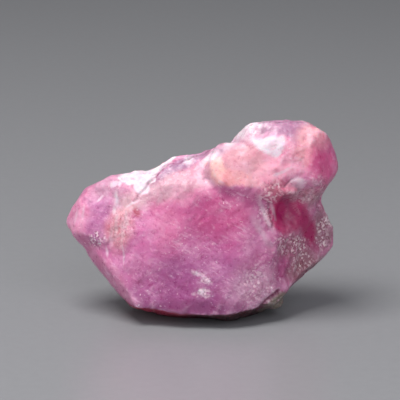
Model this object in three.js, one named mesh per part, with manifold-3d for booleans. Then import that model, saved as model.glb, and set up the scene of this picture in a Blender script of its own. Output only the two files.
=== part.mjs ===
// Raw ruby crystal: one closed solid, in millimetres, +Z up, resting on its flat foot at z = 0.
// +X runs along the crystal's length, -Y is its broad front face, and the origin is the middle of
// the bounding box's underside. Several crystals have grown into one another, so the form is a smooth
// join of faceted bodies. Each body is the space behind a list of growth faces; a few rounded lumps
// are added to it and a few rounded hollows taken out. The surface is found along rays from the
// heart of the crystal, one ray for each point of a cube grid wrapped on a sphere, and the foot is
// then cut flat.
import * as THREE from 'three';
import { mergeVertices } from 'three/addons/utils/BufferGeometryUtils.js';
import Module from 'manifold-3d';

const DEGREE = Math.PI / 180;

// Driving dimensions.
const HEART = [0.6, 0, 9.8];         // every ray starts here
const REACH = [17, 9.5, 12.5];       // half length, half depth, half height: shapes the ray grid
const GRID = 25;                     // cells along each side of the six patches of rays
const LEAN = 15 * DEGREE;            // the plane of the widest outline leans back this much
const OUTLINE_Y = -6.5;              // and meets z = 0 here
const GROUND = -1.1;                 // the foot is cut flat at this z, which then becomes 0
const FOOT_DEPTH = 6;                // thickness of the block that cuts the foot flat
const FOOT_SIZE = 60;
const FAR = 1.45;                    // a ray is searched from FAR down to NEAR times its reach
const NEAR = 0.08;
const STEPS = 60;
const HALVINGS = 18;

// Slow swell of the faces: how far each axis moves, and the two waves that carry it.
const SWELL = [
  { size: 0.22, along: [1, 2], rate: [0.47, 0.53], phase: [0.4, 0.9] },
  { size: 0.30, along: [0, 2], rate: [0.41, 0.49], phase: [1.1, 0.3] },
  { size: 0.22, along: [0, 1], rate: [0.45, 0.56], phase: [2.2, 0.8] },
];

// A growth face through a point. Azimuth 0 faces the front (-Y) and 90 faces +X; elevation is up.
function face(azimuth, elevation, x, y, z) {
  const a = azimuth * DEGREE;
  const e = elevation * DEGREE;
  const normal = [Math.sin(a) * Math.cos(e), -Math.cos(a) * Math.cos(e), Math.sin(e)];
  return { normal, offset: normal[0] * x + normal[1] * y + normal[2] * z };
}

// A rim face: it stands square on the leaning outline plane, on the line from (x1, h1) to (x2, h2),
// and faces left of that line. h is the height within the outline plane.
function rim(x1, h1, x2, h2) {
  const length = Math.hypot(x2 - x1, h2 - h1);
  const nx = -(h2 - h1) / length;
  const nh = (x2 - x1) / length;
  const normal = [nx, nh * Math.sin(LEAN), nh * Math.cos(LEAN)];
  return { normal, offset: nx * x1 + nh * (h1 + OUTLINE_Y * Math.sin(LEAN)) };
}

const HULL = {
  rounding: 0.12,
  faces: [
    face(-3, 12, -1.0, -4.75, 12.5),   // broad front face
    face(17, 10, 6.5, -4.7, 11.5),     // its right-hand part, turned away a little
    face(-5, 27, -1.0, -4.2, 14.65),   // rubbed edge above it
    face(-8, 47, -1.0, -4.2, 15.0),    // pale bevel above that
    face(-14, -62, -5.0, -7.0, 0.95),  // undercut along the foot, rising to the left
    face(2, -66, 2.0, -7.25, 0.5),
    face(-38, 12, -8.3, -5.0, 8.9),    // left shoulder, running to the tip
    face(-56, -14, -10.2, -4.3, 3.9),  // narrow bevel under that shoulder
    face(40, 3, 9.0, -4.6, 8.3),       // right shoulder
    face(36, -60, 8.6, -5.1, 1.2),     // bevel under it
    face(-45, 44, -11.0, -2.4, 13.8),  // upper left
    rim(-12.5, 5.8, -16.2, 11.25),     // left flank, from the foot up to the tip
    rim(-8.4, 1.1, -12.55, 5.8),
    rim(-4.0, 0.0, -8.3, 1.2),
    rim(-16.2, 11.25, -13.6, 15.2),    // from the tip over the left shoulder
    rim(-13.6, 15.2, -10.6, 16.7),
    rim(-10.6, 16.7, -6.0, 16.65),
    rim(15.1, 14.6, 16.3, 12.4),       // right flank, down to the foot
    face(90, 0, 16.05, 0.0, 8.0),
    rim(16.05, 8.2, 7.1, 0.05),
    face(170, 12, 3.0, 8.1, 7.0),      // back
    face(-158, 6, -6.0, 7.3, 7.0),
    face(133, 14, 11.0, 6.2, 9.0),
    face(-128, 16, -11.5, 4.4, 10.5),
    face(178, 54, 0.0, 5.6, 14.2),
    face(160, -30, 3.0, 7.5, 4.2),
    face(-150, -34, -6.0, 6.4, 3.6),
    face(0, -90, 0.0, 0.0, -1.9),      // underside, just below the cut foot
  ],
};

// Set-back lobe that ends in the left tip.
const LOBE = {
  rounding: 0.15,
  faces: [
    face(-20, 15, -12.4, -2.15, 11.0),
    face(-62, 10, -15.0, -0.7, 10.0),
    face(-30, 45, -12.4, -0.6, 13.5),
    face(-35, -30, -12.4, -1.8, 6.8),
    rim(-12.5, 5.8, -16.2, 11.25),
    rim(-16.2, 11.25, -13.6, 15.2),
    rim(-13.6, 15.2, -10.6, 16.7),
    rim(-10.6, 16.65, -6.0, 16.55),
    face(72, -18, -9.8, -2.2, 10.5),
    face(180, 10, -12.0, 4.8, 11.0),
    face(-140, 0, -14.8, 3.2, 10.5),
    face(180, 45, -12.0, 3.4, 14.4),
    face(180, -38, -12.0, 4.0, 7.0),
    face(0, -90, 0.0, 0.0, 5.6),
  ],
};

// Ridge that climbs from the left saddle to the crown.
const RIDGE = {
  rounding: 0.1,
  faces: [
    face(-3, 8, -1.0, -4.9, 8.0),
    face(17, 6, 6.5, -4.7, 6.9),
    face(-8, 47, -1.0, -4.2, 15.0),
    face(-38, 40, -5.2, -3.0, 15.6),
    rim(-5.9, 17.05, -3.1, 19.3),
    rim(-2.7, 19.15, 4.0, 20.1),
    face(-100, 5, -7.0, 2.0, 13.0),
    face(172, 26, 0.0, 4.2, 15.5),
    face(-150, 40, -3.4, 3.2, 15.6),
    face(90, 0, 9.0, 0.0, 13.0),
    face(0, -90, 0.0, 0.0, 8.0),
    face(180, -30, 0.0, 5.0, 10.0),
  ],
};

// Block that stands out of the bevel, below the crown.
const BLOCK = {
  rounding: 0.18,
  faces: [
    face(4, 22, 4.4, -5.2, 15.5),
    face(-6, 46, 4.4, -4.0, 18.6),
    face(-55, 12, 1.2, -3.9, 17.9),
    face(-6, -24, 4.4, -5.1, 15.3),
    face(-40, -8, 1.5, -4.3, 16.4),
    face(40, 30, 9.4, -3.9, 17.4),
    rim(0.5, 17.1, 2.3, 20.3),
    rim(2.0, 19.95, 5.4, 20.55),
    face(180, 30, 5.0, 1.5, 18.0),
    face(90, 10, 11.0, -2.0, 17.0),
    face(0, -90, 0.0, 0.0, 11.0),
  ],
};

// Rounded crown at the top right.
const CROWN = {
  rounding: 0.22,
  faces: [
    rim(3.3, 20.1, 5.3, 22.3),
    rim(5.3, 22.3, 7.2, 23.1),
    rim(7.2, 23.0, 12.4, 23.2),
    rim(12.4, 23.2, 15.3, 21.3),
    rim(15.3, 21.3, 16.35, 18.2),
    rim(16.6, 17.6, 14.3, 13.4),
    face(-22, 38, 6.5, -2.9, 20.3),
    face(10, 42, 11.5, -2.2, 20.8),
    face(14, 16, 11.2, -3.9, 17.95),
    face(-16, 18, 8.2, -4.6, 18.0),
    face(55, 12, 14.6, -2.4, 17.0),
    face(12, -32, 11.0, -4.1, 14.9),
    face(52, -34, 13.6, -2.9, 14.15),
    face(-60, 10, 5.0, -2.2, 17.6),
    face(175, 18, 10.3, 6.4, 18.0),
    face(135, 12, 14.3, 4.8, 17.7),
    face(-140, 35, 7.3, 4.3, 19.7),
    face(180, 58, 10.3, 3.9, 21.3),
    face(180, -36, 10.3, 5.7, 13.0),
    face(0, -90, 0.0, 0.0, 9.5),
  ],
};

// Growth terrace on the back.
const TERRACE = {
  rounding: 0.2,
  faces: [
    face(176, 4, -1.0, 8.75, 7.5),
    face(-112, 10, -6.0, 6.5, 8.0),
    face(118, 0, 6.2, 7.0, 8.0),
    face(180, 50, 0.0, 7.9, 11.8),
    face(178, -44, -1.0, 8.0, 4.0),
    face(0, 90, 0.0, 6.0, 12.6),
    face(0, 0, 0.0, 2.0, 8.0),
    face(0, -90, 0.0, 4.0, 3.4),
  ],
};

// Rounded lumps and hollows: centre, radii, turn about Z and roll about Y in degrees, blend width.
const KNOB = { centre: [8.5, -3.1, 1.05], radii: [1.25, 1.15, 0.9], turn: 0, roll: -20, blend: 0.25 };
const BACK_LUMP = { centre: [-7.6, 4.6, 12.0], radii: [3.4, 2.4, 1.9], turn: 20, roll: 8, blend: 0.6 };
const HOLLOWS = [
  { centre: [10.9, -5.3, 11.6], radii: [2.6, 3.1, 2.3], turn: 0, roll: -35, blend: 1.0 },  // red hollow
  { centre: [12.9, -4.9, 9.9], radii: [0.95, 2.3, 2.6], turn: 0, roll: 22, blend: 0.7 },   // groove beside it
  { centre: [8.4, -4.9, 20.2], radii: [1.5, 1.2, 2.2], turn: 0, roll: -25, blend: 1.1 },   // crown's cleft
  { centre: [9.0, 9.2, 10.0], radii: [4.0, 2.6, 3.2], turn: 0, roll: 20, blend: 1.0 },     // back, right
  { centre: [-2.0, 8.2, 16.4], radii: [3.6, 3.4, 2.2], turn: 0, roll: 10, blend: 1.2 },    // back, above
];

// How the faceted bodies melt into the hull.
const GROWTHS = [
  { body: LOBE, blend: 0.3 },
  { body: RIDGE, blend: 0.2 },
  { body: CROWN, blend: 0.6 },
  { body: BLOCK, blend: 0.35 },
  { body: TERRACE, blend: 0.2 },
];

// Signed depth below a body's faces, with its edges rounded: a soft maximum over the faces.
function faceted(p, { rounding, faces }) {
  const heights = faces.map(({ normal, offset }) =>
    normal[0] * p[0] + normal[1] * p[1] + normal[2] * p[2] - offset);
  const top = Math.max(...heights);
  const sum = heights.reduce((total, h) => total + Math.exp((h - top) / rounding), 0);
  return top + rounding * Math.log(sum);
}

// Approximate signed distance to a turned and rolled ellipsoid.
function lump(p, { centre, radii, turn, roll }) {
  const [x, y, z] = p.map((value, i) => value - centre[i]);
  const r = roll * DEGREE;
  const t = turn * DEGREE;
  const rolledX = x * Math.cos(r) + z * Math.sin(r);
  const rolledZ = z * Math.cos(r) - x * Math.sin(r);
  const q = [rolledX * Math.cos(t) + y * Math.sin(t), y * Math.cos(t) - rolledX * Math.sin(t), rolledZ];
  const k = Math.hypot(...q.map((value, i) => value / radii[i]));
  const g = Math.hypot(...q.map((value, i) => value / radii[i] ** 2));
  return k * (k - 1) / Math.max(g, 1e-6);
}

// Union of two signed depths with a fillet of the given width.
function join(a, b, width) {
  const overlap = Math.max(width - Math.abs(a - b), 0) / width;
  return Math.min(a, b) - overlap * overlap * width / 4;
}

// Point moved by the slow swell.
function swell(p) {
  return SWELL.map(({ size, along, rate, phase }, i) => p[i]
    + size * Math.sin(rate[0] * p[along[0]] + phase[0]) * Math.sin(rate[1] * p[along[1]] + phase[1]));
}

// Signed depth of the whole crystal: negative inside.
function crystal(point) {
  const p = swell(point);
  let depth = faceted(p, HULL);
  for (const { body, blend } of GROWTHS) {
    depth = join(depth, faceted(p, body), blend);
  }
  for (const added of [KNOB, BACK_LUMP]) {
    depth = join(depth, lump(p, added), added.blend);
  }
  for (const hollow of HOLLOWS) {
    depth = -join(-depth, lump(p, hollow), hollow.blend);
  }
  return depth;
}

// Outermost crossing along one ray: a walk inwards, then halving.
function surfacePoint(direction) {
  const at = (t) => HEART.map((value, i) => value + direction[i] * REACH[i] * t);
  const stride = (FAR - NEAR) / (STEPS - 1);
  let inner = FAR;
  while (inner > NEAR && crystal(at(inner)) > 0) {
    inner -= stride;
  }
  let outer = inner + stride;
  for (let i = 0; i < HALVINGS; i += 1) {
    const middle = (inner + outer) / 2;
    if (crystal(at(middle)) > 0) {
      outer = middle;
    } else {
      inner = middle;
    }
  }
  return at((inner + outer) / 2);
}

// Six square patches of rays, bent so that the cells are even in angle.
const PATCHES = [
  (u, v) => [1, u, v],
  (u, v) => [-1, v, u],
  (u, v) => [v, 1, u],
  (u, v) => [u, -1, v],
  (u, v) => [u, v, 1],
  (u, v) => [v, u, -1],
];

function crystalSurface() {
  const positions = [];
  const index = [];
  const angle = (i) => Math.tan((2 * i / GRID - 1) * Math.PI / 4);
  for (const patch of PATCHES) {
    const base = positions.length / 3;
    for (let i = 0; i <= GRID; i += 1) {
      for (let j = 0; j <= GRID; j += 1) {
        const ray = new THREE.Vector3(...patch(angle(i), angle(j))).normalize();
        positions.push(...surfacePoint(ray.toArray()));
      }
    }
    for (let i = 0; i < GRID; i += 1) {
      for (let j = 0; j < GRID; j += 1) {
        const a = base + i * (GRID + 1) + j;
        const b = a + GRID + 1;
        index.push(a, b, b + 1, a, b + 1, a + 1);
      }
    }
  }
  const geometry = new THREE.BufferGeometry();
  geometry.setAttribute('position', new THREE.Float32BufferAttribute(positions, 3));
  geometry.setIndex(index);
  return geometry;
}

// three.js geometry to manifold solid and back.
const wasm = await Module();
wasm.setup();

function toSolid(geometry) {
  const bare = geometry.clone();
  bare.deleteAttribute('normal');
  bare.deleteAttribute('uv');
  const merged = mergeVertices(bare, 1e-4);
  return new wasm.Manifold(new wasm.Mesh({
    numProp: 3,
    vertProperties: merged.attributes.position.array,
    triVerts: new Uint32Array(merged.index.array),
  }));
}

function toGeometry(solid) {
  const mesh = solid.getMesh();
  const geometry = new THREE.BufferGeometry();
  geometry.setAttribute('position', new THREE.BufferAttribute(mesh.vertProperties, 3));
  geometry.setIndex(new THREE.BufferAttribute(mesh.triVerts, 1));
  geometry.computeVertexNormals();
  return geometry;
}

const ground = new THREE.BoxGeometry(FOOT_SIZE, FOOT_SIZE, FOOT_DEPTH);
ground.translate(0, 0, GROUND - FOOT_DEPTH / 2);
const stone = toGeometry(toSolid(crystalSurface()).subtract(toSolid(ground)));

// Bring the middle of the box's underside to the origin.
stone.computeBoundingBox();
const middle = stone.boundingBox.getCenter(new THREE.Vector3());
stone.translate(-middle.x, -middle.y, -GROUND);

const corundum = new THREE.MeshStandardMaterial({ color: '#c2689a', roughness: 0.42, metalness: 0 });
const crystalMesh = new THREE.Mesh(stone, corundum);
crystalMesh.name = 'ruby_crystal';

const part = new THREE.Group();
part.add(crystalMesh);

export default part;
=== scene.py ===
"""Raw ruby crystal: the fine surface, its corundum finish, and a plain stage to look at it on.

The crystal's form is worked out in growth coordinates, in millimetres: +X along its length, -Y out
of the broad front face, +Z up. It is then fitted to the frame's box, in metres.
"""

import bpy
import numpy as np
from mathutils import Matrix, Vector


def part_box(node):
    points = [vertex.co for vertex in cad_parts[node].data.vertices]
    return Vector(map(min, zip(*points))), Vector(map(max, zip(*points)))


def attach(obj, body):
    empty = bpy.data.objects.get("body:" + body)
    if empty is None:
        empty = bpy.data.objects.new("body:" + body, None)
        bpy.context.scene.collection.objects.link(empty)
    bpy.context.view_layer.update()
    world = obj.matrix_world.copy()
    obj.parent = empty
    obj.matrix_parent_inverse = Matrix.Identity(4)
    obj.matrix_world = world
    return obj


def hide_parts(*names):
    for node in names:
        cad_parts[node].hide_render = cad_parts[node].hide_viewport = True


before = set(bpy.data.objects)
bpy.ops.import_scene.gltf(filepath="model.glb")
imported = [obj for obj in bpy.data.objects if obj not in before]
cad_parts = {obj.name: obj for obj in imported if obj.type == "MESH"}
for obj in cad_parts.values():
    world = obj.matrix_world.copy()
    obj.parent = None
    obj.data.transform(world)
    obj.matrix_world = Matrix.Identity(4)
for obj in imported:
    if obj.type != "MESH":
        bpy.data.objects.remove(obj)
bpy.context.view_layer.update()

NODE = "ruby_crystal"
MM = 0.001

# ---------------------------------------------------------------------------------------------
# Sizes
# ---------------------------------------------------------------------------------------------
HEART = np.array((0.6, 0.0, 9.8))      # every ray starts here
REACH = np.array((17.0, 9.5, 12.5))    # half length, half depth, half height of the ray grid
GRID = 126                             # cells along each side of the six patches of rays
LEAN = np.radians(15.0)                # the plane of the widest outline leans back this much
OUTLINE_Y = -6.5                       # and meets z = 0 here
GROUND = -1.1                          # the foot is cut flat at this z


# ---------------------------------------------------------------------------------------------
# Random patterns, the same on every run
# ---------------------------------------------------------------------------------------------
def random_at(cells, seed):
    """A number in 0..1 for each whole-numbered cell: its three indices scrambled with the seed."""
    i, j, k = np.moveaxis(cells.astype(np.int64).view(np.uint64), -1, 0)
    with np.errstate(over="ignore"):
        h = i * np.uint64(0x9E3779B97F4A7C15) ^ j * np.uint64(0xC2B2AE3D27D4EB4F)
        h ^= k * np.uint64(0x165667B19E3779F9) ^ np.uint64(seed * 7919 + 17)
        h ^= h >> np.uint64(33)
        h *= np.uint64(0xFF51AFD7ED558CCD)
        h ^= h >> np.uint64(29)
        h *= np.uint64(0xC4CEB9FE1A85EC53)
        h ^= h >> np.uint64(32)
    return (h & np.uint64(0xFFFFFF)).astype(float) / 0xFFFFFF


def noise(p, size, seed=0):
    """Smooth noise in -1..1: random values on a lattice of that size in mm, eased between."""
    q = p / size
    base = np.floor(q)
    t = q - base
    t = t * t * (3 - 2 * t)
    total = np.zeros(len(p))
    for corner in np.ndindex(2, 2, 2):
        c = np.array(corner)
        weight = np.prod(np.where(c, t, 1 - t), axis=1)
        total += weight * random_at(base + c, seed)
    return 2 * total - 1


def clouds(p, size, seed=0, octaves=4):
    """Noise at halving sizes and halving strengths, summed: roughly -1..1."""
    total = np.zeros(len(p))
    for octave in range(octaves):
        total += noise(p, size / 2**octave, seed + 31 * octave) / 2**octave
    return total / 1.5


def facets(p, size, seed):
    """Broken facets, in -1..1: random heights on a lattice of that size in mm, carried in straight
    lines across the six tetrahedra of each cube, so flat chips meet in crisp edges."""
    q = p / size
    base = np.floor(q)
    t = q - base
    order = np.argsort(-t, axis=1)
    ranked = -np.sort(-t, axis=1)
    walls = np.column_stack((np.ones(len(p)), ranked, np.zeros(len(p))))
    total = np.zeros(len(p))
    corner = base.copy()
    rows = np.arange(len(p))
    for step in range(4):
        total += (walls[:, step] - walls[:, step + 1]) * random_at(corner, seed)
        if step < 3:
            corner[rows, order[:, step]] += 1
    return 2 * total - 1


def ease(low, high, x):
    """0 below low, 1 above high, an S-curve between."""
    t = np.clip((x - low) / (high - low), 0, 1)
    return t * t * (3 - 2 * t)


# ---------------------------------------------------------------------------------------------
# Form: the same growth faces as the solid that this surface stands for
# ---------------------------------------------------------------------------------------------
def face(azimuth, elevation, x, y, z):
    """A growth face through a point. Azimuth 0 faces -Y and 90 faces +X; elevation is up."""
    a, e = np.radians((azimuth, elevation))
    normal = np.array((np.sin(a) * np.cos(e), -np.cos(a) * np.cos(e), np.sin(e)))
    return (*normal, normal @ (x, y, z))


def rim(x1, h1, x2, h2):
    """A face square to the leaning outline plane, on the line (x1, h1) to (x2, h2), facing left
    of it. h is the height within the outline plane."""
    length = np.hypot(x2 - x1, h2 - h1)
    nx, nh = -(h2 - h1) / length, (x2 - x1) / length
    normal = (nx, nh * np.sin(LEAN), nh * np.cos(LEAN))
    return (*normal, nx * x1 + nh * (h1 + OUTLINE_Y * np.sin(LEAN)))


HULL = (0.12, [
    face(-3, 12, -1.0, -4.75, 12.5),   # broad front face
    face(17, 10, 6.5, -4.7, 11.5),     # its right-hand part, turned away a little
    face(-5, 27, -1.0, -4.2, 14.65),   # rubbed edge above it
    face(-8, 47, -1.0, -4.2, 15.0),    # pale bevel above that
    face(-14, -62, -5.0, -7.0, 0.95),  # undercut along the foot, rising to the left
    face(2, -66, 2.0, -7.25, 0.5),
    face(-38, 12, -8.3, -5.0, 8.9),    # left shoulder, running to the tip
    face(-56, -14, -10.2, -4.3, 3.9),  # narrow bevel under that shoulder
    face(40, 3, 9.0, -4.6, 8.3),       # right shoulder
    face(36, -60, 8.6, -5.1, 1.2),     # bevel under it
    face(-45, 44, -11.0, -2.4, 13.8),  # upper left
    rim(-12.5, 5.8, -16.2, 11.25),     # left flank, from the foot up to the tip
    rim(-8.4, 1.1, -12.55, 5.8),
    rim(-4.0, 0.0, -8.3, 1.2),
    rim(-16.2, 11.25, -13.6, 15.2),    # from the tip over the left shoulder
    rim(-13.6, 15.2, -10.6, 16.7),
    rim(-10.6, 16.7, -6.0, 16.65),
    rim(15.1, 14.6, 16.3, 12.4),       # right flank, down to the foot
    face(90, 0, 16.05, 0.0, 8.0),
    rim(16.05, 8.2, 7.1, 0.05),
    face(170, 12, 3.0, 8.1, 7.0),      # back
    face(-158, 6, -6.0, 7.3, 7.0),
    face(133, 14, 11.0, 6.2, 9.0),
    face(-128, 16, -11.5, 4.4, 10.5),
    face(178, 54, 0.0, 5.6, 14.2),
    face(160, -30, 3.0, 7.5, 4.2),
    face(-150, -34, -6.0, 6.4, 3.6),
    face(0, -90, 0.0, 0.0, -1.9),      # underside, just below the cut foot
])
LOBE = (0.15, [
    face(-20, 15, -12.4, -2.15, 11.0),
    face(-62, 10, -15.0, -0.7, 10.0),
    face(-30, 45, -12.4, -0.6, 13.5),
    face(-35, -30, -12.4, -1.8, 6.8),
    rim(-12.5, 5.8, -16.2, 11.25),
    rim(-16.2, 11.25, -13.6, 15.2),
    rim(-13.6, 15.2, -10.6, 16.7),
    rim(-10.6, 16.65, -6.0, 16.55),
    face(72, -18, -9.8, -2.2, 10.5),
    face(180, 10, -12.0, 4.8, 11.0),
    face(-140, 0, -14.8, 3.2, 10.5),
    face(180, 45, -12.0, 3.4, 14.4),
    face(180, -38, -12.0, 4.0, 7.0),
    face(0, -90, 0.0, 0.0, 5.6),
])
RIDGE = (0.1, [
    face(-3, 8, -1.0, -4.9, 8.0),
    face(17, 6, 6.5, -4.7, 6.9),
    face(-8, 47, -1.0, -4.2, 15.0),
    face(-38, 40, -5.2, -3.0, 15.6),
    rim(-5.9, 17.05, -3.1, 19.3),
    rim(-2.7, 19.15, 4.0, 20.1),
    face(-100, 5, -7.0, 2.0, 13.0),
    face(172, 26, 0.0, 4.2, 15.5),
    face(-150, 40, -3.4, 3.2, 15.6),
    face(90, 0, 9.0, 0.0, 13.0),
    face(0, -90, 0.0, 0.0, 8.0),
    face(180, -30, 0.0, 5.0, 10.0),
])
BLOCK = (0.18, [
    face(4, 22, 4.4, -5.2, 15.5),
    face(-6, 46, 4.4, -4.0, 18.6),
    face(-55, 12, 1.2, -3.9, 17.9),
    face(-6, -24, 4.4, -5.1, 15.3),
    face(-40, -8, 1.5, -4.3, 16.4),
    face(40, 30, 9.4, -3.9, 17.4),
    rim(0.5, 17.1, 2.3, 20.3),
    rim(2.0, 19.95, 5.4, 20.55),
    face(180, 30, 5.0, 1.5, 18.0),
    face(90, 10, 11.0, -2.0, 17.0),
    face(0, -90, 0.0, 0.0, 11.0),
])
CROWN = (0.22, [
    rim(3.3, 20.1, 5.3, 22.3),
    rim(5.3, 22.3, 7.2, 23.1),
    rim(7.2, 23.0, 12.4, 23.2),
    rim(12.4, 23.2, 15.3, 21.3),
    rim(15.3, 21.3, 16.35, 18.2),
    rim(16.6, 17.6, 14.3, 13.4),
    face(-22, 38, 6.5, -2.9, 20.3),
    face(10, 42, 11.5, -2.2, 20.8),
    face(14, 16, 11.2, -3.9, 17.95),
    face(-16, 18, 8.2, -4.6, 18.0),
    face(55, 12, 14.6, -2.4, 17.0),
    face(12, -32, 11.0, -4.1, 14.9),
    face(52, -34, 13.6, -2.9, 14.15),
    face(-60, 10, 5.0, -2.2, 17.6),
    face(175, 18, 10.3, 6.4, 18.0),
    face(135, 12, 14.3, 4.8, 17.7),
    face(-140, 35, 7.3, 4.3, 19.7),
    face(180, 58, 10.3, 3.9, 21.3),
    face(180, -36, 10.3, 5.7, 13.0),
    face(0, -90, 0.0, 0.0, 9.5),
])
TERRACE = (0.2, [
    face(176, 4, -1.0, 8.75, 7.5),
    face(-112, 10, -6.0, 6.5, 8.0),
    face(118, 0, 6.2, 7.0, 8.0),
    face(180, 50, 0.0, 7.9, 11.8),
    face(178, -44, -1.0, 8.0, 4.0),
    face(0, 90, 0.0, 6.0, 12.6),
    face(0, 0, 0.0, 2.0, 8.0),
    face(0, -90, 0.0, 4.0, 3.4),
])
# Faceted bodies that melt into the hull, with the width of the fillet.
GROWTHS = [(LOBE, 0.3), (RIDGE, 0.2), (CROWN, 0.6), (BLOCK, 0.35), (TERRACE, 0.2)]
# Rounded lumps and hollows: centre, radii, turn about Z and roll about Y in degrees, fillet.
LUMPS = [
    ((8.5, -3.1, 1.05), (1.25, 1.15, 0.9), 0, -20, 0.25),  # knob at the foot
    ((-7.6, 4.6, 12.0), (3.4, 2.4, 1.9), 20, 8, 0.6),      # lump at the back
]
HOLLOWS = [
    ((10.9, -5.3, 11.6), (2.6, 3.1, 2.3), 0, -35, 1.0),  # red hollow
    ((12.9, -4.9, 9.9), (0.95, 2.3, 2.6), 0, 22, 0.7),   # groove beside it
    ((8.4, -4.9, 20.2), (1.5, 1.2, 2.2), 0, -25, 1.1),   # crown's cleft
    ((9.0, 9.2, 10.0), (4.0, 2.6, 3.2), 0, 20, 1.0),     # back, right
    ((-2.0, 8.2, 16.4), (3.6, 3.4, 2.2), 0, 10, 1.2),    # back, above
]


def faceted(p, body):
    """Signed depth below a body's faces with its edges rounded: a soft maximum over the faces."""
    rounding, faces = body
    faces = np.array(faces)
    heights = p @ faces[:, :3].T - faces[:, 3]
    top = heights.max(axis=1)
    return top + rounding * np.log(np.exp((heights - top[:, None]) / rounding).sum(axis=1))


def lump(p, centre, radii, turn, roll):
    """Approximate signed distance to a turned and rolled ellipsoid."""
    x, y, z = (p - centre).T
    r, t = np.radians((roll, turn))
    x, z = x * np.cos(r) + z * np.sin(r), z * np.cos(r) - x * np.sin(r)
    x, y = x * np.cos(t) + y * np.sin(t), y * np.cos(t) - x * np.sin(t)
    q = np.stack((x, y, z), 1)
    k = np.linalg.norm(q / radii, axis=1)
    g = np.linalg.norm(q / np.square(radii), axis=1)
    return k * (k - 1) / np.maximum(g, 1e-6)


def join(a, b, width):
    """Union of two signed depths with a fillet of the given width."""
    overlap = np.maximum(width - np.abs(a - b), 0) / width
    return np.minimum(a, b) - overlap * overlap * width / 4


def swell(p):
    """Slow swell of the faces: each axis moves by a product of two slow waves in the others."""
    x, y, z = p.T
    return np.stack((
        x + 0.22 * np.sin(0.47 * y + 0.4) * np.sin(0.53 * z + 0.9),
        y + 0.30 * np.sin(0.41 * x + 1.1) * np.sin(0.49 * z + 0.3),
        z + 0.22 * np.sin(0.45 * x + 2.2) * np.sin(0.56 * y + 0.8),
    ), 1)


def crystal(p):
    """Signed depth of the whole crystal, cut flat at the ground: negative inside."""
    q = swell(p)
    depth = faceted(q, HULL)
    for body, fillet in GROWTHS:
        depth = join(depth, faceted(q, body), fillet)
    for *shape, fillet in LUMPS:
        depth = join(depth, lump(q, *shape), fillet)
    for *shape, fillet in HOLLOWS:
        depth = -join(-depth, lump(q, *shape), fillet)
    return np.maximum(depth, GROUND - p[:, 2])


def ray_grid(n):
    """Directions of a cube grid wrapped on a sphere, evenly spread in angle, and the quads between
    them. Each patch is a function of two parameters; shared borders are merged."""
    t = np.tan(np.linspace(-1, 1, n + 1) * np.pi / 4)
    u, v = np.meshgrid(t, t, indexing="ij")
    one = np.ones_like(u)
    patches = [(one, u, v), (-one, v, u), (v, one, u), (u, -one, v), (u, v, one), (v, u, -one)]
    rays = np.concatenate([np.stack(patch, -1).reshape(-1, 3) for patch in patches])
    rays /= np.linalg.norm(rays, axis=1)[:, None]
    i, j = np.meshgrid(np.arange(n), np.arange(n), indexing="ij")
    corner = (i * (n + 1) + j).ravel()
    quad = np.stack((corner, corner + n + 1, corner + n + 2, corner + 1), 1)
    quads = np.concatenate([quad + side * (n + 1) ** 2 for side in range(6)])
    keys = np.round(rays * 1e5).astype(np.int64)
    _, first, merged = np.unique(keys, axis=0, return_index=True, return_inverse=True)
    return rays[first], merged.reshape(-1)[quads]


def surface(rays, far=1.45, near=0.08, steps=60, halvings=14):
    """Outermost crossing of each ray with the crystal: a walk inwards in even steps, then halving
    of the step in which it went in."""
    reach = rays * REACH
    stride = (far - near) / (steps - 1)
    inner = np.full(len(rays), far)
    outside = np.arange(len(rays))
    for _ in range(steps):
        inner[outside] -= stride
        depth = crystal(HEART + reach[outside] * inner[outside, None])
        outside = outside[depth > 0]
        if not len(outside):
            break
    outer = inner + stride
    for _ in range(halvings):
        middle = (inner + outer) / 2
        inside = crystal(HEART + reach * middle[:, None]) < 0
        inner = np.where(inside, middle, inner)
        outer = np.where(inside, outer, middle)
    return HEART + reach * ((inner + outer) / 2)[:, None]


def outward(points, quads):
    """Unit normal at each point: the cross products of its quads' diagonals, added up."""
    a, b, c, d = (points[quads[:, n]] for n in range(4))
    cross = np.cross(c - a, d - b)
    total = np.stack([
        sum(np.bincount(quads[:, n], cross[:, axis], len(points)) for n in range(4))
        for axis in range(3)
    ], 1)
    return total / np.maximum(np.linalg.norm(total, axis=1), 1e-12)[:, None]


def spread(values, quads, rounds):
    """Average of each value with its neighbours' along the quads' sides, repeated."""
    start = np.concatenate([quads[:, n] for n in range(4)])
    end = np.concatenate([quads[:, (n + 1) % 4] for n in range(4)])
    count = np.bincount(start, minlength=len(values))
    for _ in range(rounds):
        around = np.bincount(start, values[end], len(values)) / count
        values = 0.5 * values + 0.5 * around
    return values


# ---------------------------------------------------------------------------------------------
# Places on the crystal, by x and h in the outline plane, in mm
# ---------------------------------------------------------------------------------------------
def outline_height(p):
    """Height of each point within the leaning outline plane."""
    return p[:, 2] * np.cos(LEAN) + (p[:, 1] - OUTLINE_Y) * np.sin(LEAN)


def spot(x, h, at, half, turn, soft):
    """1 inside a turned ellipse around a place, easing to 0 across soft, a share of its radius."""
    t = np.radians(turn)
    dx, dh = x - at[0], h - at[1]
    along = (dx * np.cos(t) + dh * np.sin(t)) / half[0]
    across = (dh * np.cos(t) - dx * np.sin(t)) / half[1]
    return 1 - ease(1 - soft, 1 + soft, np.hypot(along, across))


def seam(x, h, start, end, width):
    """1 on a straight line between two places, easing to 0 at that width to either side."""
    along = np.subtract(end, start)
    length = np.hypot(*along)
    t = np.clip(((x - start[0]) * along[0] + (h - start[1]) * along[1]) / length**2, 0, 1)
    away = np.hypot(x - start[0] - t * along[0], h - start[1] - t * along[1])
    return 1 - ease(0.2 * width, width, away)


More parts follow.
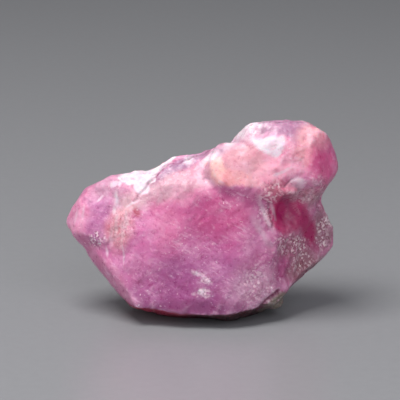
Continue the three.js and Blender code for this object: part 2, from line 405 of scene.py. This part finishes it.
# Fine cracks on the front: start, end, width to either side, depth, all in mm.
CRACKS = [
    ((-7.7, 13.5), (-6.2, 15.6), 0.22, 0.10),  # along the foot of the ridge
    ((-6.2, 15.6), (-4.2, 17.7), 0.22, 0.12),
    ((-4.2, 17.7), (-1.2, 18.8), 0.20, 0.10),
    ((-1.2, 18.8), (1.6, 19.7), 0.20, 0.10),
    ((-5.6, 16.7), (-3.0, 18.5), 0.18, 0.08),  # and beside it
    ((8.7, 22.1), (7.6, 21.1), 0.20, 0.08),    # below the crown's top
    ((9.9, 15.3), (10.7, 16.3), 0.18, 0.08),   # round the grey-pink facet
    ((10.7, 16.3), (12.2, 16.2), 0.18, 0.08),
    ((8.0, 13.4), (8.6, 10.6), 0.22, 0.12),    # left of the hollow
    ((7.0, 0.9), (9.3, 3.1), 0.40, 0.24),      # between the foot and the knob
]


def cracks(p, x, h):
    """How deep a crack each point lies in, in mm. The lines waver."""
    depth = np.zeros(len(x))
    waver_x = 0.18 * noise(p, 0.9, 71)
    waver_h = 0.18 * noise(p, 0.9, 72)
    for start, end, width, deep in CRACKS:
        line = seam(x + waver_x, h + waver_h, start, end, width)
        np.maximum(depth, line * deep, out=depth)
    return depth


# The lattice of broken facets stands askew, so that it lines up with nothing else.
SKEW = np.array(((0.80, 0.36, -0.48), (-0.60, 0.48, -0.64), (0.0, 0.80, 0.60)))
# How rough the surface is at a place: where, half sizes, turn, softness, relief compared with 1.
ROUGHNESS = [
    ((0.5, 8.0), (8.5, 7.0), 0, 0.35, 0.45),     # broad front face
    ((4.8, 18.0), (4.2, 2.4), 0, 0.3, 0.6),      # block
    ((-2.5, 16.2), (5.0, 1.6), 14, 0.4, 0.8),    # pale bevel
    ((-7.8, 16.0), (2.4, 1.2), -6, 0.3, 1.5),    # snowy saddle
    ((-1.5, 18.4), (5.0, 0.7), 24, 0.4, 1.7),    # ridge
    ((5.6, 22.0), (2.6, 1.3), 38, 0.4, 1.5),     # frosted side of the crown
    ((14.6, 17.8), (1.8, 2.8), 0, 0.4, 0.5),     # crown's smooth right end
    ((-10.6, 4.6), (4.6, 1.5), -50, 0.4, 0.35),  # bevel along the lower left
    ((10.5, 12.0), (2.4, 2.6), 0, 0.4, 0.9),     # hollow
    ((12.0, 6.5), (3.4, 3.4), 0, 0.4, 1.8),      # speckled lower right
    ((14.9, 10.8), (1.4, 2.8), 0, 0.4, 1.8),
    ((10.6, 15.0), (2.6, 1.0), 0, 0.4, 1.5),     # lip of the hollow
    ((11.2, 15.3), (1.4, 0.9), 32, 0.3, 0.3),    # grey-pink facet
    ((-8.9, 11.0), (1.8, 3.0), 0, 0.4, 1.4),     # salmon band
]


def relief(p, x, h, front):
    """Height of the fine surface above the growth faces, in mm: three sizes of broken facets, and
    shallow ledges, with the roughness of each place."""
    rough = np.ones(len(p))
    for at, half, turn, soft, value in ROUGHNESS:
        inside = front * spot(x, h, at, half, turn, soft)
        rough += (value - rough) * inside
    bent = p @ SKEW + 0.35 * np.stack([noise(p, 2.5, 11 + n) for n in range(3)], 1)
    large = facets(bent, 3.1, 21)
    middle = facets(bent, 1.35, 31)
    small = facets(bent, 0.6, 41)
    ledge = clouds(p, 5.0, 61, 3) * 5
    ledge = (np.floor(ledge) + ease(0.75, 1.0, ledge - np.floor(ledge))) / 5
    chipped = 0.26 * large + 0.15 * middle + 0.06 * small
    return rough * chipped + 0.1 * ledge * np.minimum(rough, 1) - front * cracks(p, x, h)


# ---------------------------------------------------------------------------------------------
# Colour zones
# ---------------------------------------------------------------------------------------------
def linear(colour):
    """sRGB hex to linear red, green and blue."""
    srgb = np.array([int(colour[n:n + 2], 16) for n in (1, 3, 5)]) / 255
    return np.where(srgb <= 0.04045, srgb / 12.92, ((srgb + 0.055) / 1.055) ** 2.4)


# Milky pink corundum as it shows away from the named zones: from deep to pale.
DEEP = linear("#b85a92")
ROSE = linear("#cd7ba6")
LILAC = linear("#d79dc0")
SALMON = linear("#dd93a6")
SNOW = linear("#e6dbe3")
# Painted shade for the faces that look down near the foot.
UNDERCUT_SHADE = linear("#8a0034")
KNOB_GREY = linear("#746b60")
# Painted shade in the cracks.
CRACK_SHADE = linear("#80385c")
# Width of a place, in mm, from which its border wanders in full.
RAGGED = 1.2
# Balance between the three channels, set so that the finished skin shows the tints as meant.
RICHER = np.array((1.04, 0.92, 0.98))

# Zones on the front, painted in this order: place, half sizes, turn, softness, strength, colour.
TINTS = [
    ((0.0, 8.0), (12.0, 8.5), 0, 0.3, 0.9, "#c0659b"),      # body of the front face
    ((-1.0, 3.4), (9.5, 4.4), 0, 0.5, 0.85, "#985087"),     # purple towards the foot, darkened there as painted shade
    ((2.8, 12.2), (4.0, 2.4), 0, 0.6, 0.8, "#c8568f"),      # magenta heart
    ((-4.6, 11.4), (2.6, 3.6), 18, 0.6, 0.8, "#d883ab"),
    ((-7.0, 9.0), (2.2, 4.6), 12, 0.6, 0.8, "#d383b3"),
    ((7.4, 8.4), (2.0, 4.8), -6, 0.6, 0.7, "#b9759f"),
    ((6.8, 3.0), (3.4, 2.6), 0, 0.6, 0.85, "#b98fa8"),      # milky lower right of the face
    ((-2.2, 14.5), (3.8, 1.1), 3, 0.6, 0.65, "#eeaac6"),    # lighter strip under the bevel
    ((-2.0, 16.0), (5.6, 1.7), 12, 0.4, 0.9, "#be919f"),    # pale bevel
    ((-5.6, 14.8), (2.2, 1.7), 20, 0.5, 0.8, "#c3a0ab"),
    ((1.0, 17.0), (2.0, 1.6), 10, 0.5, 0.8, "#dbb2c0"),
    ((4.9, 18.1), (4.2, 2.7), 0, 0.16, 1.0, "#d29ca6"),     # block
    ((4.4, 16.2), (3.2, 0.9), -12, 0.3, 0.85, "#e09c9b"),   # its salmon foot
    ((1.9, 17.6), (0.9, 1.9), 14, 0.25, 0.95, "#eec5ba"),   # its peach rim
    ((7.8, 16.2), (1.6, 1.4), 0, 0.5, 0.8, "#ffc8d4"),
    ((10.0, 18.4), (2.4, 2.4), 0, 0.4, 0.9, "#e8a9bc"),     # crown
    ((10.4, 22.4), (4.4, 1.3), -4, 0.4, 0.9, "#a5809b"),
    ((13.2, 20.8), (2.0, 1.7), -30, 0.4, 0.9, "#f0b8bc"),
    ((12.4, 19.2), (1.5, 1.2), 20, 0.4, 0.7, "#dfa2a6"),
    ((14.8, 17.7), (1.6, 2.7), 10, 0.6, 1.0, "#d26294"),    # its magenta end
    ((5.6, 21.9), (2.6, 1.2), 38, 0.4, 0.85, "#d3bfcc"),    # frosted side
    ((11.2, 15.3), (1.3, 0.85), 32, 0.12, 1.0, "#e8ccd8"),  # grey-pink facet
    ((9.4, 15.0), (1.5, 1.1), 0, 0.5, 0.8, "#bf637e"),
    ((12.8, 14.0), (1.6, 1.0), 0, 0.5, 0.8, "#b67f90"),
    ((10.5, 14.4), (3.6, 0.8), 2, 0.5, 0.7, "#c8788c"),     # brown-rose lip over the hollow
    ((10.3, 12.2), (2.5, 2.2), -35, 0.3, 1.0, "#bc1a6a"),   # red hollow: its own deep red, painted darker as shade
    # darker middle of the hollow: painted shade
    ((10.5, 12.0), (1.2, 1.0), 0, 0.7, 0.6, "#8c1056"),
    ((14.7, 10.8), (1.4, 2.8), 0, 0.4, 0.9, "#a07684"),     # right lobe
    ((11.2, 7.6), (2.4, 3.2), 0, 0.5, 0.85, "#a5667f"),     # speckled lower right
    ((12.9, 10.5), (0.8, 2.5), 20, 0.4, 1.0, "#a62062"),    # groove beside the hollow, its deep red partly painted shade
    ((12.6, 5.6), (2.4, 1.5), 40, 0.5, 0.8, "#94656f"),
    ((9.9, 5.6), (0.7, 1.3), -20, 0.5, 0.8, "#ad4b86"),
    ((7.6, 9.9), (0.8, 3.0), 28, 0.5, 0.6, "#b8729a"),
    ((-11.8, 11.8), (2.7, 3.5), 0, 0.4, 0.9, "#bb7aa9"),    # left lobe
    ((-10.8, 15.4), (2.6, 1.3), 10, 0.4, 0.85, "#cda3b9"),
    ((-14.8, 11.9), (1.4, 2.0), 0, 0.5, 0.9, "#e09dbc"),    # tip
    ((-9.6, 10.4), (1.5, 2.8), -8, 0.5, 0.85, "#dd9ca8"),   # salmon band
    ((-10.0, 10.8), (0.9, 1.4), -8, 0.6, 0.7, "#c8707c"),
    ((-8.2, 13.5), (1.7, 1.3), 0, 0.5, 0.85, "#d8bcc0"),
    ((-8.7, 12.6), (1.4, 0.6), 38, 0.6, 0.7, "#ecc0c4"),    # peach-white arch over the band
    ((-10.5, 11.5), (0.9, 0.6), 40, 0.6, 0.5, "#dfa9b8"),
    ((-7.4, 12.2), (0.5, 0.6), 20, 0.6, 0.85, "#b23652"),   # red spot
    ((-8.6, 5.8), (2.4, 2.0), -30, 0.5, 0.7, "#d591ba"),
    ((-10.9, 5.2), (5.6, 0.9), -50, 0.5, 0.85, "#cd86ab"),  # bevel along the lower left
    ((-2.6, 17.9), (3.6, 0.55), 28, 0.5, 0.8, "#a085a0"),   # purple ridge
    ((1.2, 19.3), (2.4, 0.6), 16, 0.5, 0.8, "#a5859f"),
    # dark strip along the foot: painted shade
    ((-1.6, 1.2), (7.5, 0.9), 0, 0.5, 0.7, "#7c3a6a"),
    ((7.4, 21.8), (0.5, 0.32), 60, 0.4, 0.8, "#8a5878"),    # oval mark on the crown
]
# Snow-white frosted places on the front, and painted glints: place, half sizes, turn, softness,
# strength.
FROSTS_AND_GLINTS = [
    ((-7.9, 16.5), (1.8, 0.95), -4, 0.12, 1.0),  # saddle
    ((-6.9, 15.4), (0.7, 1.2), 25, 0.12, 1.0),
    ((-6.2, 16.7), (1.0, 0.8), 30, 0.12, 1.0),
    ((-10.0, 15.6), (0.7, 0.4), 20, 0.2, 0.7),
    ((-4.4, 18.1), (2.8, 0.45), 38, 0.15, 1.0),  # behind the ridge
    ((7.6, 19.9), (1.8, 0.5), -35, 0.25, 1.0),   # cleft of the crown, a V
    ((9.3, 19.9), (0.45, 1.3), -18, 0.25, 1.0),
    ((8.2, 20.4), (1.7, 0.6), -4, 0.3, 0.9),
    ((9.6, 17.0), (1.2, 0.2), 22, 0.4, 0.5),     # pale line below it
    ((5.0, 21.6), (2.4, 0.6), 40, 0.3, 0.9),
    ((-1.4, 18.5), (0.7, 0.4), 20, 0.4, 0.9),    # painted glints on the ridge
    ((1.3, 18.8), (1.0, 0.35), 28, 0.4, 0.9),
    ((-0.4, 5.2), (0.6, 0.22), -20, 0.6, 0.5),   # bruises on the front face
    ((0.7, 4.5), (0.6, 0.26), -34, 0.6, 0.55),
    ((0.2, 3.1), (0.5, 0.3), 30, 0.4, 0.8),
    ((0.5, 2.7), (0.6, 0.16), -10, 0.5, 0.6),
    ((-0.7, 2.8), (0.3, 0.1), 10, 0.5, 0.5),
    ((-9.2, 7.4), (0.1, 1.4), 2, 0.5, 0.55),     # scratches
    ((-11.2, 7.7), (0.12, 0.6), 4, 0.5, 0.5),
    ((-9.9, 13.8), (0.22, 0.9), -4, 0.9, 0.85),  # pale marks on the left lobe, partly painted glints
    ((-10.2, 12.5), (0.2, 0.5), -4, 0.9, 0.8),
    ((-12.0, 14.0), (0.5, 0.15), 40, 0.4, 0.7),
    ((-14.0, 12.2), (0.12, 1.0), -6, 0.5, 0.4),
    ((-14.8, 11.8), (0.12, 0.9), -6, 0.5, 0.4),
    ((-8.0, 13.3), (0.9, 0.16), 24, 0.4, 0.7),
    ((-9.9, 10.9), (0.22, 1.5), -4, 0.9, 0.45),  # streaks in the salmon band
    ((-9.2, 10.0), (0.2, 1.2), -6, 0.9, 0.4),
    ((-8.7, 11.5), (0.2, 0.9), -2, 0.9, 0.4),
    ((-10.5, 9.6), (0.2, 1.1), -8, 0.9, 0.35),
    ((7.8, 11.9), (0.26, 1.5), 27, 1.0, 0.6),    # bands left of the hollow
    ((7.3, 9.9), (0.34, 1.7), 30, 1.0, 0.35),
    ((8.6, 12.6), (0.16, 0.9), 20, 1.0, 0.5),
]
# Crumbly, sugary places on the front, white grains on rose-brown: as above.
SUGARS = [
    ((-12.3, 9.2), (1.1, 0.9), 0, 0.5, 1.0),   # left lobe
    ((-9.4, 10.4), (1.4, 2.4), -8, 0.5, 0.4),  # salmon band
    ((10.4, 14.1), (3.4, 0.7), 4, 0.4, 0.8),   # lip over the hollow
    ((8.4, 15.0), (1.4, 0.9), 0, 0.5, 0.7),
    ((7.9, 11.6), (0.8, 1.7), 27, 0.5, 0.55),  # beside the hollow
    ((10.9, 8.3), (2.0, 1.5), -10, 0.4, 1.0),  # speckled lower right
    ((12.4, 6.6), (1.8, 1.4), 40, 0.5, 0.7),
    ((14.9, 9.8), (0.9, 1.9), 0, 0.4, 1.0),
    ((14.4, 15.0), (1.4, 1.2), 50, 0.5, 0.7),  # beside the notch
    ((6.8, 4.2), (2.2, 2.6), 0, 0.6, 0.45),    # milky corner of the front face
    ((6.0, 22.0), (2.2, 1.0), 38, 0.5, 0.5),   # frosted side of the crown
    ((0.3, 4.8), (1.4, 0.5), -28, 0.5, 0.6),   # bruises on the front face
    ((0.4, 2.9), (1.1, 0.6), 0, 0.5, 0.6),
]


def zone(x, h, wander, at, half, turn, soft):
    """A spot with a ragged border. Small places get only their share of the wander, to keep shape."""
    share = min(1.0, min(half) / RAGGED)
    return spot(x + share * wander[0], h + share * wander[1], at, half, turn, soft)


def paint(p, normal, x, h, front, crease):
    """Colour, frosted places with painted glints, and sugar of each point. Away from the front the
    colours drift with slow noise; on the front the named zones are laid over that with ragged
    borders. Edges are painted pale, partly as rubbed wear and partly as a painted highlight; creases
    get painted shade, and faces that look down get dark red painted shade."""
    drift = clouds(p, 6.0, 101)[:, None]
    veil = clouds(p, 2.4, 111)[:, None]
    colour = ROSE + (DEEP - ROSE) * ease(0.0, 0.5, drift) + (LILAC - ROSE) * ease(0.0, 0.5, -drift)
    colour += (SALMON - colour) * 0.6 * ease(0.1, 0.6, clouds(p, 4.5, 121))[:, None]
    colour += (LILAC - colour) * 0.5 * ease(0.15, 0.5, veil)
    wander = [
        0.45 * noise(p, 1.6, seed) + 0.2 * noise(p, 0.5, seed + 1)
        for seed in (131, 133)
    ]
    for at, half, turn, soft, strength, tint in TINTS:
        inside = front * strength * zone(x, h, wander, at, half, turn, soft)
        colour += (linear(tint) - colour) * inside[:, None]
    frost_and_glints = 0.55 * (1 - front) * ease(0.25, 0.6, clouds(p, 3.6, 141))
    sugar = 0.8 * (1 - front) * ease(0.15, 0.5, clouds(p, 4.2, 151))
    for zones, values in ((FROSTS_AND_GLINTS, frost_and_glints), (SUGARS, sugar)):
        for at, half, turn, soft, strength in zones:
            inside = front * strength * zone(x, h, wander, at, half, turn, soft)
            np.maximum(values, inside, out=values)
    # Pale convex edges: partly rubbed wear, partly a painted highlight.
    wear_and_highlight = ease(0.012, 0.06, crease) * (0.12 + 0.23 * ease(1.0, 2.2, h))
    colour = np.clip(colour * RICHER, 0, 1)
    colour += (SNOW - colour) * np.maximum(frost_and_glints, wear_and_highlight)[:, None]
    # Painted shade in the creases.
    crease_shade = ease(0.012, 0.06, -crease) * 0.45
    colour += (DEEP * 0.55 - colour) * crease_shade[:, None]
    # Painted shade on the faces that look down, low on the crystal.
    undercut_shade = ease(0.15, 0.5, -normal[:, 2]) * ease(2.6, 0.8, p[:, 2])
    # Painted shade on the undercut: wine red at the left and nearly black from the middle on.
    darker = 1 - 0.8 * ease(-4.0, 0.5, x)
    colour += (UNDERCUT_SHADE * darker[:, None] - colour) * undercut_shade[:, None]
    # The knob is what lies below the groove between it and the foot.
    below_groove = 0.69 * (x - 7.0) - 0.72 * (h - 0.9)
    knob = front * ease(0.0, 0.3, below_groove) * ease(6.9, 7.2, x) * ease(3.3, 2.7, h)
    colour += (KNOB_GREY - colour) * knob[:, None]
    # Painted shade in the cracks and in the gap between the foot and the knob.
    shaded = front * np.minimum(4 * cracks(p, x, h), 1)
    colour += (CRACK_SHADE - colour) * shaded[:, None]
    return colour, frost_and_glints, sugar


# ---------------------------------------------------------------------------------------------
# The crystal's mesh
# ---------------------------------------------------------------------------------------------
def fitted(points):
    """Scale and shift, axis by axis, that lay the points' box on the frame's box, in metres."""
    low, high = (np.array(corner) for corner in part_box(NODE))
    scale = (high - low) / (points.max(0) - points.min(0))
    return scale, low - points.min(0) * scale


def grow():
    """The crystal's fine mesh, painted. Points are found in growth coordinates, given their relief
    and colour there, and then fitted to the frame."""
    rays, quads = ray_grid(GRID)
    points = surface(rays)
    normal = outward(points, quads)
    x, h = points[:, 0], outline_height(points)
    front = ease(0.35, -0.15, normal[:, 1] * np.cos(LEAN) - normal[:, 2] * np.sin(LEAN))
    standing = ease(GROUND, GROUND + 0.25, points[:, 2])
    points = points + normal * (relief(points, x, h, front) * standing)[:, None]
    points[:, 2] = np.maximum(points[:, 2], GROUND)
    normal = outward(points, quads)
    smooth = np.stack([spread(points[:, n], quads, 6) for n in range(3)], 1)
    crease = ((points - smooth) * normal).sum(1)
    colour, frost_and_glints, sugar = paint(points, normal, x, h, front, crease)

    scale, shift = fitted(points)
    mesh = bpy.data.meshes.new(NODE + "_surface")
    mesh.from_pydata(points * scale + shift, [], quads.tolist())
    mesh.polygons.foreach_set("use_smooth", np.ones(len(quads), bool))
    tint = mesh.color_attributes.new("tint", "FLOAT_COLOR", "POINT")
    tint.data.foreach_set("color", np.column_stack((colour, np.ones(len(colour)))).ravel())
    for name, values in (("frost_and_glints", frost_and_glints), ("sugar", sugar)):
        mesh.attributes.new(name, "FLOAT", "POINT").data.foreach_set("value", values)
    mesh.update()
    stone = bpy.data.objects.new(NODE + "_surface", mesh)
    bpy.context.scene.collection.objects.link(stone)
    return stone, scale, shift


# ---------------------------------------------------------------------------------------------
# Materials
# ---------------------------------------------------------------------------------------------
def add(tree, kind, output=0, settings=None, inputs=None):
    """Adds one node and gives back one of its outputs. Settings are the node's own properties;
    inputs are values, or outputs to link, by the input's name or number."""
    made = tree.nodes.new(kind)
    for name, value in (settings or {}).items():
        setattr(made, name, value)
    for key, value in (inputs or {}).items():
        if isinstance(value, bpy.types.NodeSocket):
            tree.links.new(value, made.inputs[key])
        else:
            made.inputs[key].default_value = value
    return made.outputs[output] if made.outputs else None


def blank_material(name):
    """A material with no nodes yet."""
    material = bpy.data.materials.new(name)
    material.use_nodes = True
    tree = material.node_tree
    tree.nodes.clear()
    return material, tree


# Noises in the stone: name, size of a feature in mm, levels of detail.
NOISES = [
    ("grain", 0.26, 3.0),  # sugary grain of the weathered skin
    ("mottle", 1.1, 4.0),  # cloudy patches of deeper and paler pink
    ("clump", 0.7, 2.0),   # clumps that the crumbs gather in
    ("glint", 0.13, 2.0),  # painted glints: white flecks
    ("field", 2.4, 2.0),   # fields where flecks and veils lie
    ("pit", 0.16, 3.0),    # etch pits
    ("hole", 0.34, 2.0),   # larger dark pits
]
# Veils are thin healed fractures seen edge on, drawn out along a slant: name, turn in degrees.
VEILS = [("veil_down", 26), ("veil_up", -42)]
CRUMB = 0.24           # mm, angular grains of the sugary places
VEIL_WIDTH = 0.18       # mm
VEIL_LENGTH = 4.0      # times as long as wide
# Layers over the tint, from the bottom up: noise, the noise's range that brings the layer in, its
# strength, the mask that limits it, colour, blend.
LAYERS = [
    ("mottle", 0.52, 0.68, 0.25, "milk", "#f2bcd8", "MIX"),
    ("mottle", 0.50, 0.34, 0.40, None, "#eeb9d9", "MULTIPLY"),
    ("grain", 0.56, 0.72, 0.24, "milk", "#f6cfe0", "MIX"),
    ("grain", 0.46, 0.30, 0.25, None, "#cf86ac", "MULTIPLY"),
    ("hole", 0.40, 0.33, 0.28, "field", "#c0709f", "MULTIPLY"),
    ("veil_down", 0.54, 0.70, 0.50, "milk_field", "#ecbcd8", "MIX"),
    ("veil_up", 0.54, 0.72, 0.25, "milk_field", "#ecbcd8", "MIX"),
    ("crumb", 0.46, 0.26, 0.55, "sugar", "#84505c", "MIX"),
    ("crumb", 0.56, 0.74, 0.85, "clumps", "#f3e2e6", "MIX"),
    ("glint", 0.67, 0.72, 0.60, "field", "#fdf4f6", "MIX"),
]


def raw_corundum():
    """Raw milky corundum, weathered: light sinks in and comes back pink, so edges glow and shadows
    stay soft; the skin is waxy with a sugary grain and etch pits, pale healed fractures cross it
    both ways, tiny flecks are painted white as glints, and frosted bruises are dull and snow-white."""
    material, tree = blank_material("raw_corundum")
    place = add(tree, "ShaderNodeTexCoord", "Object")
    colour = add(tree, "ShaderNodeAttribute", "Color", {"attribute_name": "tint"})
    frost_and_glints = add(tree, "ShaderNodeAttribute", "Fac", {"attribute_name": "frost_and_glints"})
    sugar = add(tree, "ShaderNodeAttribute", "Fac", {"attribute_name": "sugar"})
    noises = {}
    for name, size, detail in NOISES:
        noises[name] = add(tree, "ShaderNodeTexNoise", "Fac", None, {
            "Vector": place, "Scale": 0.5 / (size * MM), "Detail": detail, "Roughness": 0.6})
    noises["crumb"] = add(tree, "ShaderNodeTexVoronoi", "Color", None, {
        "Vector": place, "Scale": 1.0 / (CRUMB * MM)})
    for name, turn in VEILS:
        slant = add(tree, "ShaderNodeMapping", "Vector", {"vector_type": "TEXTURE"}, {
            "Vector": place, "Rotation": (0.0, np.radians(turn), 0.0),
            "Scale": (VEIL_LENGTH, 2.0, 1.0)})
        noises[name] = add(tree, "ShaderNodeTexNoise", "Fac", None, {
            "Vector": slant, "Scale": 0.5 / (VEIL_WIDTH * MM), "Detail": 3.0, "Roughness": 0.6})
    masks = {"sugar": sugar}
    masks["field"] = add(tree, "ShaderNodeMapRange", "Result", None, {
        "Value": noises["field"], "From Min": 0.42, "From Max": 0.60})
    # Pale layers lie only where the stone itself is pale, so deep places stay clear and deep.
    masks["milk"] = add(tree, "ShaderNodeMapRange", "Result", None, {
        "Value": colour, "From Min": 0.10, "From Max": 0.20})
    masks["milk_field"] = add(tree, "ShaderNodeMath", 0, {"operation": "MULTIPLY"}, {
        0: masks["milk"], 1: masks["field"]})
    gathered = add(tree, "ShaderNodeMapRange", "Result", None, {
        "Value": noises["clump"], "From Min": 0.38, "From Max": 0.58, "To Min": 0.1})
    masks["clumps"] = add(tree, "ShaderNodeMath", 0, {"operation": "MULTIPLY"}, {
        0: gathered, 1: sugar})
    for name, low, high, strength, mask, tone, blend in LAYERS:
        amount = add(tree, "ShaderNodeMapRange", "Result", None, {
            "Value": noises[name], "From Min": low, "From Max": high, "To Max": strength})
        if mask:
            amount = add(tree, "ShaderNodeMath", 0, {"operation": "MULTIPLY"}, {
                0: amount, 1: masks[mask]})
        colour = add(tree, "ShaderNodeMix", 2, {"data_type": "RGBA", "blend_type": blend}, {
            0: amount, 6: colour, 7: (*linear(tone), 1.0)})

    gloss = add(tree, "ShaderNodeMapRange", "Result", None, {
        "Value": noises["grain"], "From Min": 0.35, "From Max": 0.65, "To Min": 0.26, "To Max": 0.5})
    dull = add(tree, "ShaderNodeMix", 0, {"data_type": "FLOAT"}, {0: frost_and_glints, 2: gloss, 3: 0.62})
    pits = add(tree, "ShaderNodeBump", "Normal", None, {
        "Height": noises["pit"], "Strength": 0.6, "Distance": 0.06 * MM})
    skin = add(tree, "ShaderNodeBump", "Normal", None, {
        "Height": noises["grain"], "Strength": 0.7, "Distance": 0.09 * MM, "Normal": pits})
    shader = add(tree, "ShaderNodeBsdfPrincipled", "BSDF", {"subsurface_method": "RANDOM_WALK"}, {
        "Base Color": colour, "Roughness": dull, "IOR": 1.76, "Specular IOR Level": 0.32,
        "Subsurface Weight": 0.5, "Subsurface Radius": (1.0, 0.4, 0.6),
        "Subsurface Scale": 0.55 * MM, "Normal": skin})
    add(tree, "ShaderNodeOutputMaterial", 0, None, {"Surface": shader})
    return material


def satin_board():
    """Pale grey painted board: satin, so a faint reflection of the stone lies in front of it."""
    material, tree = blank_material("satin_board")
    place = add(tree, "ShaderNodeTexCoord", "Object")
    mottle = add(tree, "ShaderNodeTexNoise", "Fac", None, {
        "Vector": place, "Scale": 900.0, "Detail": 2.0})
    colour = add(tree, "ShaderNodeMix", 2, {"data_type": "RGBA"}, {
        0: mottle, 6: (*linear("#88898d"), 1.0), 7: (*linear("#8e8f93"), 1.0)})
    shader = add(tree, "ShaderNodeBsdfPrincipled", "BSDF", None, {
        "Base Color": colour, "Roughness": 0.3, "IOR": 1.45})
    add(tree, "ShaderNodeOutputMaterial", 0, None, {"Surface": shader})
    return material


# ---------------------------------------------------------------------------------------------
# Stage: floor, light and camera
# ---------------------------------------------------------------------------------------------
FLOOR_HALF = 1.6       # m
LIGHTS = [
    # name, place (m), side (m), power (W), colour
    ("key_above", (-0.09, -0.06, 0.34), 0.2, 1.35, "#fffdfa"),
    ("fill_left", (-0.34, -0.18, 0.15), 0.25, 0.3, "#fff8fa"),
    ("fill_front", (0.09, -0.27, 0.16), 0.28, 0.48, "#fbfaff"),
]
HORIZON = 0.05     # strength of the room's light, level and overhead
ZENITH = 0.28
EYE_DISTANCE = 0.296   # m
LENS = 225.0           # mm
AIM = np.array((0.0, 0.0, 12.5))       # growth coordinates, mm


def lay_floor():
    """One flat square of board, with the stone at its middle."""
    corners = [(-FLOOR_HALF, -FLOOR_HALF, 0), (FLOOR_HALF, -FLOOR_HALF, 0),
               (FLOOR_HALF, FLOOR_HALF, 0), (-FLOOR_HALF, FLOOR_HALF, 0)]
    mesh = bpy.data.meshes.new("floor")
    mesh.from_pydata(corners, [], [(0, 1, 2, 3)])
    mesh.materials.append(satin_board())
    floor = bpy.data.objects.new("floor", mesh)
    bpy.context.scene.collection.objects.link(floor)


def aim(thing, place, target):
    """Stands a light or camera at a place, looking at the target."""
    thing.location = place
    thing.rotation_mode = "QUATERNION"
    thing.rotation_quaternion = (Vector(target) - Vector(place)).to_track_quat("-Z", "Y")


def light_stage(target):
    """Three soft square lamps, and a room that is dim at the horizon and brighter overhead."""
    for name, place, side, power, colour in LIGHTS:
        lamp = bpy.data.lights.new(name, "AREA")
        lamp.size = side
        lamp.energy = power
        lamp.color = linear(colour)
        holder = bpy.data.objects.new(name, lamp)
        bpy.context.scene.collection.objects.link(holder)
        aim(holder, place, target)
    world = bpy.data.worlds.new("soft_room")
    world.use_nodes = True
    tree = world.node_tree
    direction = add(tree, "ShaderNodeTexCoord", "Generated")
    height = add(tree, "ShaderNodeSeparateXYZ", "Z", None, {"Vector": direction})
    sky = add(tree, "ShaderNodeMapRange", "Result", None, {
        "Value": height, "From Max": 0.7, "To Min": HORIZON, "To Max": ZENITH})
    background = tree.nodes["Background"]
    background.inputs["Color"].default_value = (*linear("#eceef2"), 1.0)
    tree.links.new(sky, background.inputs["Strength"])
    bpy.context.scene.world = world


def set_camera(target):
    """A long lens, looking square at the leaning outline plane."""
    camera = bpy.data.cameras.new("camera")
    camera.lens = LENS
    camera.clip_start = 0.01
    camera.clip_end = 10.0
    holder = bpy.data.objects.new("camera", camera)
    bpy.context.scene.collection.objects.link(holder)
    back = Vector((0.0, -np.cos(LEAN), np.sin(LEAN)))
    aim(holder, Vector(target) + back * EYE_DISTANCE, target)
    bpy.context.scene.camera = holder


stone, scale, shift = grow()
stone.data.materials.append(raw_corundum())
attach(stone, "root")
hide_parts(NODE)

centre = AIM * scale + shift
lay_floor()
light_stage(centre)
set_camera(centre)
bpy.context.scene.view_settings.view_transform = "Standard"
